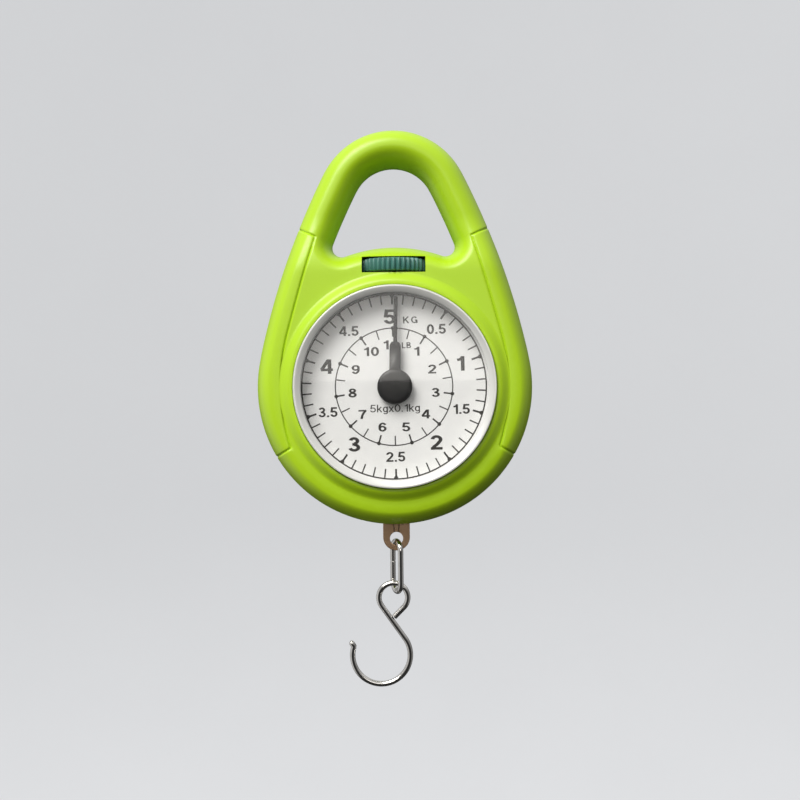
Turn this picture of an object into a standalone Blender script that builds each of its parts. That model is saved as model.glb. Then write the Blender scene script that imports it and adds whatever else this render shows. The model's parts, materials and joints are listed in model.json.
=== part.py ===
"""Hanging spring scale: a hand-held dial scale with a carrying handle, a thumb wheel for zero and an S-hook.

Every number below is in millimetres and is measured from the centre of the dial: x to the right,
y to the back, z up. solid() and lathe() turn it into metres, and the origin is the hang point, the
inside top of the handle, where the scale is held.
"""

import math

import bmesh
import bpy
from mathutils import Matrix, Vector
from mathutils.geometry import delaunay_2d_cdt

MM = 0.001
GAP = 0.3  # between pieces that touch

# case outline: a large circle round the dial, a small one round the handle, and two long side arcs
LOW_R = 50.5
TOP_R = 28.5
TOP_Z = 65.85
SIDE_R = 280.0
SIDE_X, SIDE_Z = -224.5, -47.4
BAND = 13.5  # width of the handle
SILL_R = 51.3  # lower edge of the handle opening, round the dial centre
CORNER_R = 4.5
HANG_Z = TOP_Z + TOP_R - BAND

# case section
WALL = 2.0
EDGE = 6.6  # width of the rounded edge
FRONT_Y = 15.0
BACK_Y = 14.0
HANDLE_SHARE = 0.76  # depth of the handle against that of the body
THIN_FROM, THIN_TO = 41.0, 62.0

# dial group
WINDOW_R = 36.4
COLLAR_R = 38.6
COLLAR_Y = 18.5
BEZEL_R = 36.1
BEZEL_IN_R = 33.5
DIAL_R = 34.3
DIAL_Y = (-11.6, -11.0)
HUB_R = 6.3
POINTER_Y = (-15.5, -13.3)
POINTER_TIP = 31.8
POINTER_BASE = 16.6

# movement
MECH_Y = -3.0
PLATE_X, PLATE_LOW, PLATE_TOP = 25.0, -31.0, 38.5
FRONT_PLATE_Y = (-9.0, -8.0)
BACK_PLATE_Y = (3.0, 4.0)
PILLAR_X, PILLAR_ZS = 21.5, (-27.0, 30.0)
SPRING_X, SPRING_R, SPRING_WIRE, SPRING_TURNS = 14.0, 3.45, 0.55, 20
SPRING_Z = (-18.4, 28.8)
MODULE, TEETH = 0.5, 12
TRAVEL = math.pi * MODULE * TEETH  # one turn of the pointer

# zero wheel
WHEEL_R, WHEEL_Z, WHEEL_T, WHEEL_RIBS = 13.5, 43.8, 5.2, 44
SLOT_X, SLOT_H = 11.4, 5.9
SCREW_R = 2.0

# load train
BAR_W, BAR_T, BAR_END = 9.8, 1.2, -60.0
BAR_HOLE_Z, BAR_HOLE_R = -55.6, 2.3
LINK_WIRE, LINK_R, LINK_TOP, LINK_LOW, LINK_TWIST = 1.0, 3.5, -56.6, -75.0, 24.0
HOOK_WIRE = 1.0
EYE_X, EYE_Z, EYE_R = -1.4, -77.25, 5.3
BOWL_DX, BOWL_DZ, BOWL_R = -4.56, -21.1, 10.6

# screws that hold the two halves together: x, z, bottom of the head's recess
CASE_SCREWS = {
    "case_screw_low_left": (-29.4, -29.4, 9.0),
    "case_screw_low_right": (29.4, -29.4, 9.0),
    "case_screw_mid_left": (-34.0, 38.0, 9.0),
    "case_screw_mid_right": (34.0, 38.0, 9.0),
    "case_screw_handle": (0.0, TOP_Z + TOP_R - BAND / 2, 6.2),
}

LIME = ((0.50, 0.73, 0.05), 0.0, 0.32)
DIAL_WHITE = ((0.80, 0.80, 0.78), 0.0, 0.5)
CLEAR = ((0.95, 0.95, 0.95), 0.0, 0.05)
BLACK = ((0.02, 0.02, 0.022), 0.0, 0.4)
TEAL = ((0.08, 0.22, 0.19), 0.0, 0.4)
SILVER = ((0.70, 0.71, 0.72), 1.0, 0.25)
STEEL = ((0.50, 0.51, 0.52), 1.0, 0.35)
BRASS = ((0.78, 0.57, 0.22), 1.0, 0.3)
NYLON = ((0.75, 0.73, 0.66), 0.0, 0.55)

for old in list(bpy.data.objects):
    bpy.data.objects.remove(old, do_unlink=True)
PARTS = bpy.data.collections.new("hanging_spring_scale")
HELPERS = bpy.data.collections.new("cutters")
for collection in (PARTS, HELPERS):
    bpy.context.scene.collection.children.link(collection)
HELPERS.hide_render = True


def material(name, look):
    colour, metal, rough = look
    mat = bpy.data.materials.new(name)
    mat.use_nodes = True
    node = mat.node_tree.nodes["Principled BSDF"]
    node.inputs["Base Color"].default_value = (*colour, 1)
    node.inputs["Metallic"].default_value = metal
    node.inputs["Roughness"].default_value = rough
    mat.diffuse_color = (*colour, 1)
    return mat


def place(name, mesh, look, origin):
    """An object of a mesh, with its origin at a point. With no look it's a helper."""
    mesh.shade_smooth()
    mesh.set_sharp_from_angle(angle=math.radians(38))
    obj = bpy.data.objects.new(name, mesh)
    x, y, z = origin
    obj.location = (x * MM, y * MM, (z - HANG_Z) * MM)
    if look:
        mesh.materials.append(material(name, look))
        PARTS.objects.link(obj)
    else:
        obj.hide_render = True
        obj.display_type = "WIRE"
        HELPERS.objects.link(obj)
    return obj


def solid(name, bm, look, pivot=(0, 0, 0)):
    """An object of a closed bmesh in millimetres, with its origin at the pivot."""
    bmesh.ops.remove_doubles(bm, verts=bm.verts, dist=0.001)
    bmesh.ops.recalc_face_normals(bm, faces=bm.faces)
    bmesh.ops.translate(bm, verts=bm.verts, vec=-Vector(pivot))
    bmesh.ops.scale(bm, verts=bm.verts, vec=(MM, MM, MM))
    mesh = bpy.data.meshes.new(name)
    bm.to_mesh(mesh)
    bm.free()
    return place(name, mesh, look, pivot)


def from_curve(name, curve, turn, look, pivot):
    """The closed solid that a curve in millimetres makes."""
    obj = bpy.data.objects.new(name, curve)
    HELPERS.objects.link(obj)
    graph = bpy.context.evaluated_depsgraph_get()
    made = bpy.data.meshes.new_from_object(obj.evaluated_get(graph))
    made.transform(turn)
    bm = bmesh.new()
    bm.from_mesh(made)
    bpy.data.objects.remove(obj, do_unlink=True)
    bpy.data.meshes.remove(made)
    return solid(name, bm, look, pivot)


def boolean(obj, helper, operation):
    mod = obj.modifiers.new(helper.name, "BOOLEAN")
    mod.operation = operation
    mod.solver = "EXACT"
    mod.object = helper


def cut(obj, helper):
    boolean(obj, helper, "DIFFERENCE")


def add(obj, helper):
    boolean(obj, helper, "UNION")


def lathe(name, profile, centre, axis="Y", segments=32, look=None, pivot=None):
    """Turns a closed profile of (radius, position along the axis) round an axis through the centre."""
    origin = pivot or centre
    shift = centre[1] - origin[1] if axis == "Y" else centre[2] - origin[2]
    loop = list(profile)
    if sum(a[0] * b[1] - b[0] * a[1] for a, b in zip(loop, loop[1:] + loop[:1])) > 0:
        loop.reverse()  # the outer side runs down
    on_axis = [k for k, (r, _) in enumerate(loop) if r == 0]
    edges = [(k, k + 1) for k in range(len(loop) - 1)]
    if on_axis:  # the stretch on the axis stays open
        first = max(on_axis) if max(on_axis) - min(on_axis) == 1 else min(on_axis)
        loop = loop[first:] + loop[:first]
    else:
        edges.append((len(loop) - 1, 0))
    points = [(r, h + shift, 0) if axis == "Y" else (r, 0, h + shift) for r, h in loop]
    mesh = bpy.data.meshes.new(name)
    mesh.from_pydata([tuple(c * MM for c in point) for point in points], edges, [])
    obj = place(name, mesh, look, origin)
    screw = obj.modifiers.new("turned", "SCREW")
    screw.axis = axis
    screw.steps = screw.render_steps = segments
    screw.use_merge_vertices = True
    screw.merge_threshold = 0.001 * MM
    return obj


def rod(name, r, ends, centre, axis="Y", segments=20, look=None, bore=0.0, pivot=None):
    """A round bar between two positions along the axis, or a tube if it has a bore."""
    low, high = ends
    if bore:
        profile = [(bore, low), (r, low), (r, high), (bore, high)]
        return lathe(name, profile, centre, axis, segments, look, pivot)
    along = Vector((0, 1, 0)) if axis == "Y" else Vector((0, 0, 1))
    middle = Matrix.Translation(Vector(centre) + along * (low + high) / 2)
    if axis == "Y":
        middle = middle @ Matrix.Rotation(math.radians(90), 4, "X")
    bm = bmesh.new()
    bmesh.ops.create_cone(
        bm, cap_ends=True, segments=segments, radius1=r, radius2=r, depth=high - low, matrix=middle
    )
    return solid(name, bm, look, pivot or centre)


def prism(name, outline, ends, axis="Y", look=None, pivot=(0, 0, 0)):
    """A flat outline drawn out along y or z. Its points are (x, z) for y and (x, y) for z."""
    curve = bpy.data.curves.new(name, "CURVE")
    curve.dimensions = "2D"
    curve.fill_mode = "BOTH"
    curve.extrude = (ends[1] - ends[0]) / 2
    spline = curve.splines.new("POLY")
    spline.points.add(len(outline) - 1)
    for point, (a, b) in zip(spline.points, outline):
        point.co = (a, b, 0, 1)
    spline.use_cyclic_u = True
    middle = (ends[0] + ends[1]) / 2
    turn = Matrix.Translation((0, 0, middle))
    if axis == "Y":
        turn = Matrix.Translation((0, middle, 0)) @ Matrix.Rotation(math.radians(90), 4, "X")
    return from_curve(name, curve, turn, look, pivot)


def block(name, xs, ys, zs, look=None, pivot=(0, 0, 0)):
    middle = [(low + high) / 2 for low, high in (xs, ys, zs)]
    size = [high - low for low, high in (xs, ys, zs)]
    bm = bmesh.new()
    bmesh.ops.create_cube(bm, size=1, matrix=Matrix.Translation(middle) @ Matrix.Diagonal((*size, 1)))
    return solid(name, bm, look, pivot)


def tube(name, path, radius, rounding, closed=False, look=None, pivot=(0, 0, 0), tip=1.0):
    """A round wire along a path. tip is the share of the radius at the first point."""
    curve = bpy.data.curves.new(name, "CURVE")
    curve.dimensions = "3D"
    curve.bevel_depth = radius
    curve.bevel_resolution = rounding
    curve.use_fill_caps = not closed
    spline = curve.splines.new("POLY")
    spline.points.add(len(path) - 1)
    for point, place_at in zip(spline.points, path):
        point.co = (*place_at, 1)
    spline.points[0].radius = tip
    spline.use_cyclic_u = closed
    return from_curve(name, curve, Matrix(), look, pivot)


def arc(cx, cz, r, start, end, steps):
    """Points on a circle from one angle to another in degrees, without the last."""
    return [
        (cx + r * math.cos(math.radians(a)), cz + r * math.sin(math.radians(a)))
        for a in (start + (end - start) * k / steps for k in range(steps))
    ]


LOW_TANGENT = math.degrees(math.atan2(-SIDE_Z, -SIDE_X))
TOP_TANGENT = math.degrees(math.atan2(TOP_Z - SIDE_Z, -SIDE_X))


def mirrored(right):
    """Closes an outline whose right half runs from the bottom up to the top."""
    left = [(-x, z) for x, z in reversed(right[1:])]
    return right + left


def case_outline(inset):
    """The outside of the case, moved inwards."""
    right = arc(0, 0, LOW_R - inset, -90, LOW_TANGENT, 18)
    right += arc(SIDE_X, SIDE_Z, SIDE_R - inset, LOW_TANGENT, TOP_TANGENT, 8)
    right += arc(0, TOP_Z, TOP_R - inset, TOP_TANGENT, 90, 9)
    top = [(0.0, TOP_Z + TOP_R - inset)]
    return mirrored(right + top)


def corner_centre():
    """Centre of the fillet at the right end of the opening's sill."""
    far, near, apart = SIDE_R - BAND - CORNER_R, SILL_R + CORNER_R, math.hypot(SIDE_X, SIDE_Z)
    turn = math.acos((near**2 + apart**2 - far**2) / (2 * near * apart))
    a = math.atan2(SIDE_Z, SIDE_X) % (2 * math.pi) - turn
    return near * math.cos(a), near * math.sin(a), math.degrees(a)


def opening_outline(grow):
    """The finger opening in the handle, moved outwards."""
    fx, fz, fa = corner_centre()
    side = math.degrees(math.atan2(fz - SIDE_Z, fx - SIDE_X))
    right = arc(0, 0, SILL_R - grow, 90, fa, 3)
    right += arc(fx, fz, CORNER_R + grow, fa - 180, side, 7)
    right += arc(SIDE_X, SIDE_Z, SIDE_R - BAND + grow, side, TOP_TANGENT, 3)
    right += arc(0, TOP_Z, TOP_R - BAND + grow, TOP_TANGENT, 90, 7)
    return mirrored(right + [(0.0, TOP_Z + TOP_R - BAND + grow)])


def depth_share(z):
    t = min(max((z - THIN_FROM) / (THIN_TO - THIN_FROM), 0.0), 1.0)
    return 1 - (1 - HANDLE_SHARE) * t * t * (3 - 2 * t)


def inside(point, outline):
    x, z = point
    odd = False
    for (x0, z0), (x1, z1) in zip(outline, outline[1:] + outline[:1]):
        if (z0 > z) != (z1 > z) and x < x0 + (x1 - x0) * (z - z0) / (z1 - z0):
            odd = not odd
    return odd


def circle(r, count=64):
    return arc(0, 0, r, 0, 360, count)


def half_case(name, side, depth, collar=()):
    """One hollow half of the case. side is -1 for the front and 1 for the back.

    collar is a profile of (radius, depth) from the face, over the collar, to the inside of the window.
    """
    verts, faces = [], []

    def put(points, rise, full):
        start = len(verts)
        for x, z in points:
            verts.append((x, side * (GAP / 2 + (full - GAP / 2) * rise * depth_share(z)), z))
        return [start + k for k in range(len(points))]

    def strip(a, b):
        for k in range(len(a)):
            n = (k + 1) % len(a)
            faces.append((a[k], a[n], b[n], b[k]))

    rims = []
    for thick, steps in ((0.0, 6), (WALL, 4)):
        full, width = depth - thick, EDGE - thick
        edge_rims, last = [], []
        for outline in (case_outline, opening_outline):
            rings = []
            for k in range(steps + 1):
                a = math.pi / 2 * k / steps
                points = outline(thick + width * (1 - math.cos(a)))
                rings.append(put(points, math.sin(a), full))
            for a, b in zip(rings, rings[1:]):
                strip(a, b)
            edge_rims.append(rings[0])
            last.append(outline(thick + width))
        rims.append(edge_rims)
        loops = last[0] + last[1]
        n, m = len(last[0]), len(last[1])
        edges = [(k, (k + 1) % n) for k in range(n)]
        edges += [(n + k, n + (k + 1) % m) for k in range(m)]
        holes = [last[1]]
        if collar:
            holes.append(circle(collar[-1 if thick else 0][0]))
            edges += [(n + m + k, n + m + (k + 1) % 64) for k in range(64)]
            loops += holes[1]
        for z in (36, 41, 46, 51, 56):
            for x in range(-35, 36, 7):
                clear = not inside((x, z), opening_outline(EDGE + 1.5)) and math.hypot(x, z) > 42
                if clear and inside((x, z), case_outline(EDGE + 1.5)):
                    loops.append((x, z))
        flat = delaunay_2d_cdt([Vector(p) for p in loops], edges, [], 1, 1e-6)
        start = put([tuple(p) for p in flat[0]], 1.0, full)[0]
        for tri in flat[2]:
            mid = sum((flat[0][k] for k in tri), Vector((0, 0))) / 3
            if not any(inside(mid, hole) for hole in holes):
                faces.append(tuple(start + k for k in tri))
    for outer, inner in zip(*rims):
        strip(outer, inner)
    rings = []
    for r, y in collar:
        rings.append(range(len(verts), len(verts) + 64))
        verts += [(x, side * y, z) for x, z in circle(r)]
    for a, b in zip(rings, rings[1:]):
        strip(a, b)
    mesh = bpy.data.meshes.new(name)
    mesh.from_pydata(verts, [], faces)
    bm = bmesh.new()
    bm.from_mesh(mesh)
    bpy.data.meshes.remove(mesh)
    return solid(name, bm, LIME)


# ---------------------------------------------------------------- case

collar = [(COLLAR_R + 1.6, FRONT_Y), (COLLAR_R + 0.5, FRONT_Y + 0.6), (COLLAR_R, FRONT_Y + 2.8)]
collar += [(COLLAR_R - 0.6, COLLAR_Y), (WINDOW_R, COLLAR_Y), (WINDOW_R, FRONT_Y - WALL)]
front = half_case("front_shell", -1, FRONT_Y, collar)
slot_ends = (WHEEL_Z - SLOT_H / 2, WHEEL_Z + SLOT_H / 2)
cut(front, block("wheel_slot", (-SLOT_X, SLOT_X), (-30, -8), slot_ends))
cut(front, rod("wheel_room", WHEEL_R + GAP, slot_ends, (0, MECH_Y, 0), "Z", segments=60))
cut(front, block("bar_slot", (-5.4, 5.4), (-4.5, 5), (-56, -45)))
for name, (x, z, _) in CASE_SCREWS.items():
    low = -9.6 if z > 60 else -13.6
    add(front, rod(name + "_front_boss", 3.0, (low, -0.5), (x, 0, z)))
for name, (x, z, _) in CASE_SCREWS.items():
    cut(front, rod(name + "_pilot", 1.35, (-8.4 if z > 60 else -9.4, 1), (x, 0, z), segments=12))

back = half_case("rear_shell", 1, BACK_Y)
cut(back, rod("wheel_room_back", WHEEL_R + GAP, slot_ends, (0, MECH_Y, 0), "Z", segments=60))
for name, (x, z, _) in CASE_SCREWS.items():
    high = 8.9 if z > 60 else 12.6
    add(back, rod(name + "_back_boss", 3.4 if z < 60 else 3.0, (0.5, high), (x, 0, z)))
for x in (-PILLAR_X, PILLAR_X):
    for z in PILLAR_ZS:
        add(back, rod(f"post_{x}_{z}", 2.8, (4.0 + GAP, 12.6), (x, 0, z)))
for name, (x, z, seat) in CASE_SCREWS.items():
    cut(back, rod(name + "_hole", 1.35, (-1, 20), (x, 0, z), segments=12))
    cut(back, rod(name + "_recess", 2.6 if z < 60 else 2.4, (seat, 20), (x, 0, z), segments=16))
for x in (-PILLAR_X, PILLAR_X):
    for z in PILLAR_ZS:
        cut(back, rod(f"post_hole_{x}_{z}", 1.35, (1, 8.6), (x, 0, z), segments=12))

for name, (x, z, seat) in CASE_SCREWS.items():
    head, top = (2.2, 1.6) if z < 60 else (2.0, 1.5)
    profile = [(0, -9.0 if z < 60 else -8.0), (1.05, -9.0 if z < 60 else -8.0), (1.05, seat + GAP)]
    profile += [(head, seat + GAP), (head, seat + GAP + 0.6), (head * 0.7, seat + top), (0, seat + top)]
    screw = lathe(name, profile, (x, 0, z), segments=16, look=STEEL)
    for k, wide in enumerate(((1.3, 0.3), (0.3, 1.3))):
        w, h = wide
        cut(screw, block(f"{name}_cross_{k}", (x - w, x + w), (seat + 0.9, seat + 5), (z - h, z + h)))

# ---------------------------------------------------------------- dial group

lip = [(BEZEL_IN_R, -19.0), (BEZEL_IN_R + 1.3, -19.2), (BEZEL_R, -18.6), (BEZEL_R, -12.2)]
lip += [(BEZEL_R - 1.1, -12.2), (BEZEL_R - 1.1, -18.2), (BEZEL_IN_R, -18.2)]
lathe("bezel_ring", lip, (0, 0, 0), segments=64, look=SILVER)
lens = [(0, -19.4), (12, -19.2), (24, -18.7), (34.3, -17.9), (34.3, -16.6), (24, -17.4), (12, -17.9), (0, -18.1)]
lathe("lens", lens, (0, 0, 0), segments=48, look=CLEAR)
rod("dial_plate", DIAL_R, DIAL_Y, (0, 0, 0), segments=64, look=DIAL_WHITE, bore=2.0)
for name, z in (("dial_post_low", -26.0), ("dial_post_top", 26.0)):
    rod(name, 2.0, (DIAL_Y[1] + GAP, FRONT_PLATE_Y[0] - GAP), (0, 0, z), segments=16, look=BRASS)

# ---------------------------------------------------------------- movement frame

plate = [(-PLATE_X, PLATE_LOW), (PLATE_X, PLATE_LOW), (PLATE_X, PLATE_TOP), (-PLATE_X, PLATE_TOP)]
for name, ys in (("movement_front_plate", FRONT_PLATE_Y), ("movement_back_plate", BACK_PLATE_Y)):
    sheet = prism(name, plate, ys, look=STEEL)
    cut(sheet, rod(name + "_bush_hole", 2.4, (ys[0] - 1, ys[1] + 1), (0, 0, 0), segments=20))
    for x in (-PILLAR_X, PILLAR_X):
        for z in PILLAR_ZS:
            cut(sheet, rod(f"{name}_{x}_{z}", 1.35, (ys[0] - 1, ys[1] + 1), (x, 0, z), segments=12))
bush = [(1.1, -1.3), (2.1, -1.3), (2.1, 0.8), (3.0, 0.8), (3.0, 1.5), (1.1, 1.5)]
lathe("spindle_front_bush", bush, (0, FRONT_PLATE_Y[1] - 0.5, 0), segments=20, look=BRASS)
lathe("spindle_rear_bush", [(r, -h) for r, h in bush], (0, BACK_PLATE_Y[0] + 0.5, 0), segments=20, look=BRASS)
for x, across in ((-PILLAR_X, "left"), (PILLAR_X, "right")):
    for z, level in zip(PILLAR_ZS, ("low", "top")):
        ends = (FRONT_PLATE_Y[1] + GAP, BACK_PLATE_Y[0] - GAP)
        rod(f"pillar_{level}_{across}", 2.2, ends, (x, 0, z), segments=16, look=BRASS, bore=1.35)
        profile = [(0, -10.5), (1.6, -10.5), (2.3, -9.9), (2.3, FRONT_PLATE_Y[0] - GAP)]
        profile += [(1.05, FRONT_PLATE_Y[0] - GAP), (1.05, 7.6), (0, 7.6)]
        lathe(f"frame_screw_{level}_{across}", profile, (x, 0, z), segments=16, look=STEEL)
seat = block("wheel_seat", (-10, 10), (FRONT_PLATE_Y[0], BACK_PLATE_Y[1]), (PLATE_TOP + GAP, 40.8), NYLON)
cut(seat, rod("seat_hole", SCREW_R + GAP, (30, 50), (0, MECH_Y, 0), "Z"))
guide = block("bar_guide", (-7.4, 7.4), (-6.2, -0.5), (-47.2, -45.5), NYLON)
cut(guide, block("guide_slot", (-BAR_W / 2 - GAP, BAR_W / 2 + GAP), (-3.9, -2.1), (-60, -40)))
block("rack_guide", (6.9, 8.9), (-4.6, BACK_PLATE_Y[0] - GAP), (-4, 4), BRASS)

# ---------------------------------------------------------------- pointer group, turns about y

turn = (0, MECH_Y, 0)
hub = [(0, POINTER_Y[0]), (HUB_R - 0.5, POINTER_Y[0]), (HUB_R, POINTER_Y[0] + 0.5), (HUB_R, POINTER_Y[1])]
pointer = lathe("pointer", hub + [(0, POINTER_Y[1])], (0, 0, 0), segments=40, look=BLACK, pivot=turn)
hand = [(2.0, 2), (2.0, POINTER_BASE - 1.4), (1.4, POINTER_BASE - 0.3), (0.65, POINTER_BASE)]
hand += [(0.65, POINTER_TIP - 1.0), (0.25, POINTER_TIP)]
hand += [(-x, z) for x, z in reversed(hand)]
add(pointer, prism("pointer_hand", hand, (-14.7, -13.7)))
cut(pointer, rod("pointer_socket", 1.2, (-14.6, -12), (0, 0, 0), segments=16))
rod("spindle", 0.9, (-14.3, BACK_PLATE_Y[1] + 1.2), (0, 0, 0), segments=16, look=STEEL, pivot=turn)
pitch = MODULE * TEETH / 2
gear = []
for k in range(TEETH):
    for r, shift in ((2.4, -9.5), (3.42, -3.4), (3.42, 3.4), (2.4, 9.5)):
        a = math.radians(15 + 30 * k + shift)
        gear.append((r * math.cos(a), r * math.sin(a)))
pinion = prism("pinion", gear, (-5.0, -1.0), look=BRASS, pivot=turn)
cut(pinion, rod("pinion_bore", 1.2, (-6, 0), (0, 0, 0), segments=16))

# ---------------------------------------------------------------- carriage, slides down under the load

section = [(-18.5, -5), (-9, -5), (-9, -2.1), (9, -2.1), (9, -5), (18.5, -5), (18.5, -0.6), (-18.5, -0.6)]
yoke = prism("lower_yoke", section, (-24.5, -20), "Z", STEEL)
add(yoke, block("yoke_tab", (-8.4, 8.4), (-1.9, -0.8), (-26.3, -23)))
for x in (-SPRING_X, SPRING_X):
    cut(yoke, rod(f"yoke_hole_{x}", SPRING_WIRE + GAP, (-30, -15), (x, MECH_Y, 0), "Z", segments=12))
bar = [(BAR_W / 2, -23.4)] + [(-x, z) for x, z in arc(0, BAR_END + BAR_W / 2, BAR_W / 2, 180, 360, 20)]
bar += [(-BAR_W / 2, BAR_END + BAR_W / 2), (-BAR_W / 2, -23.4)]
load_bar = prism("load_bar", bar, (MECH_Y - BAR_T / 2, MECH_Y + BAR_T / 2), look=SILVER)
cut(load_bar, rod("bar_hole", BAR_HOLE_R, (-8, 2), (0, 0, BAR_HOLE_Z), segments=24))
step = math.pi * MODULE
rack_line = [(6.5, -22.9), (6.5, 24.5), (3.68, 24.5)]
for k in range(14, -3, -1):
    rack_line += [(3.68, k * step + 0.52), (2.6, k * step + 0.2), (2.6, k * step - 0.2), (3.68, k * step - 0.52)]
rack_line.append((3.68, -22.9))
rack = prism("rack", rack_line, (-4.6, -2.4), look=BRASS)
rivets = {"bar_rivet_left": (-2.6, -25.0, -3.6), "bar_rivet_right": (2.6, -25.0, -3.6), "rack_rivet": (5.1, -21.5, -4.6)}
for name, (x, z, face) in rivets.items():
    for target in (yoke, rack if name == "rack_rivet" else load_bar):
        cut(target, rod(f"{name}_{target.name}", 0.95, (-8, 2), (x, 0, z), segments=12))
    profile = [(0, face - 0.9), (0.9, face - 0.8), (1.25, face - GAP), (0.65, face - GAP)]
    profile += [(0.65, -0.6 + GAP), (1.25, -0.6 + GAP), (0.9, 0.2), (0, 0.3)]
    lathe(name, profile, (x, 0, z), segments=12, look=STEEL)

# ---------------------------------------------------------------- springs


def spring(name, x):
    low, high = SPRING_Z
    count = SPRING_TURNS * 9
    path = [(x + 1.6, MECH_Y, low - 6.6), (x + 0.5, MECH_Y, low - 6.6), (x, MECH_Y, low - 6.1)]
    path += [(x, MECH_Y, low - 0.9), (x + 0.9, MECH_Y - 0.3, low - 0.1)]
    for k in range(count + 1):
        a = 2 * math.pi * SPRING_TURNS * k / count
        path.append((x + SPRING_R * math.cos(a), MECH_Y + SPRING_R * math.sin(a), low + (high - low) * k / count))
    path += [(x + 0.9, MECH_Y + 0.3, high + 0.1), (x, MECH_Y, high + 0.9), (x, MECH_Y, high + 5.6)]
    path += [(x + 0.5, MECH_Y, high + 6.1), (x + 1.6, MECH_Y, high + 6.1)]
    tube(name, path, SPRING_WIRE, 1, look=STEEL)


spring("spring_left", -SPRING_X)
spring("spring_right", SPRING_X)

# ---------------------------------------------------------------- zero adjuster

crosshead = block("upper_crosshead", (-17.5, 17.5), (-6.6, 0.6), (30, 34), STEEL)
cut(crosshead, rod("nut_hole", SCREW_R + GAP, (20, 40), (0, MECH_Y, 0), "Z"))
for x in (-SPRING_X, SPRING_X):
    cut(crosshead, rod(f"crosshead_hole_{x}", SPRING_WIRE + GAP, (20, 40), (x, MECH_Y, 0), "Z", segments=12))
axis_point = (0, MECH_Y, WHEEL_Z)
ribs = []
for k in range(WHEEL_RIBS):
    for share, r in ((0.0, WHEEL_R - 0.6), (0.25, WHEEL_R), (0.6, WHEEL_R), (0.85, WHEEL_R - 0.6)):
        a = 2 * math.pi * (k + share) / WHEEL_RIBS
        ribs.append((r * math.cos(a), MECH_Y + r * math.sin(a)))
low, high = WHEEL_Z - WHEEL_T / 2, WHEEL_Z + WHEEL_T / 2
wheel = prism("zero_wheel", ribs, (low, high), "Z", TEAL, axis_point)
cut(wheel, rod("wheel_bore", SCREW_R + GAP, (30, 60), (0, MECH_Y, 0), "Z"))
profile = [(0, 26.0), (1.5, 26.0), (SCREW_R, 26.6), (SCREW_R, high + GAP), (3.6, high + GAP)]
profile += [(3.6, high + GAP + 0.9), (3.0, high + GAP + 1.3), (0, high + GAP + 1.3)]
lathe("zero_screw", profile, (0, MECH_Y, 0), "Z", 20, STEEL, axis_point)

# ---------------------------------------------------------------- link and hook

dx, dy = math.sin(math.radians(LINK_TWIST)), -math.cos(math.radians(LINK_TWIST))
loop = [(math.cos(math.radians(a)), math.sin(math.radians(a)), LINK_TOP - LINK_R) for a in range(0, 180, 15)]
loop = [(c * LINK_R, z + s * LINK_R) for c, s, z in loop] + [(-LINK_R, LINK_TOP - LINK_R)]
loop += [(-c, LINK_TOP + LINK_LOW - z) for c, z in loop]
path = [(c * dx, MECH_Y + c * dy, z) for c, z in loop]
tube("link", path, LINK_WIRE, 4, True, SILVER, (0, MECH_Y, LINK_TOP))

bx, bz = EYE_X + BOWL_DX, EYE_Z + BOWL_DZ
apart = math.hypot(BOWL_DX, BOWL_DZ)
leave = math.degrees(math.atan2(BOWL_DZ, BOWL_DX) % (2 * math.pi) - math.acos((EYE_R + BOWL_R) / apart))
line = [(bx - BOWL_R - 0.5, bz + BOWL_R * 0.42), (bx - BOWL_R - 0.05, bz + BOWL_R * 0.32)]
line += arc(bx, bz, BOWL_R, 168, leave - 180 + 360, 26)
line += [(bx - BOWL_R * math.cos(math.radians(leave)), bz - BOWL_R * math.sin(math.radians(leave)))]
line += arc(EYE_X, EYE_Z, EYE_R, leave, -45, 22)
sx, sz = EYE_X + EYE_R * math.sqrt(0.5), EYE_Z - EYE_R * math.sqrt(0.5)
line += [(sx, sz), (sx - 3.5, sz - 3.5)]
path = [(x, MECH_Y, z) for x, z in line]
tube("s_hook", path, HOOK_WIRE, 4, look=SILVER, pivot=(0.1, MECH_Y, -72.2), tip=0.6)
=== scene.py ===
"""Looks of the hanging spring scale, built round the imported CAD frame.

Shapes are written in millimetres from the centre of the dial (x right, y back, z up) and are moved
to the row frame, whose origin is the hang point at the inside top of the handle.
"""

import json
import math

import bmesh
import bpy
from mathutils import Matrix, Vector
from mathutils.geometry import delaunay_2d_cdt


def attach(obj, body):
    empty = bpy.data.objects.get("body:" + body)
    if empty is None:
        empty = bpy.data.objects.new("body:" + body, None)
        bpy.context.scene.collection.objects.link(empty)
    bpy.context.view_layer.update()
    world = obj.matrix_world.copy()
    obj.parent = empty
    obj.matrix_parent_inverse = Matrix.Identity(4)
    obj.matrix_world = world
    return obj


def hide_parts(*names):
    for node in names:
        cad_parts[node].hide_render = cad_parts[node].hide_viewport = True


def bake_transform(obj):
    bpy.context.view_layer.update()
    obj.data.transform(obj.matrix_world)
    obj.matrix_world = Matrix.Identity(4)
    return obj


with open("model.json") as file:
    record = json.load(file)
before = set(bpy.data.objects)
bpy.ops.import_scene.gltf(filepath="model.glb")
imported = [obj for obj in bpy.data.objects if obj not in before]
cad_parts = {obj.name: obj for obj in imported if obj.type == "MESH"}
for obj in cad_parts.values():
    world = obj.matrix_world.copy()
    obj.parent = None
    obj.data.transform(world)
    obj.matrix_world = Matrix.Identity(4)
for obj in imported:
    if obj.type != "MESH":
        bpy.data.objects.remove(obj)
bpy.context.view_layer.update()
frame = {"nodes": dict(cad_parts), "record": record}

NODES = frame["nodes"]

MM = 0.001
GAP = 0.3

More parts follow.
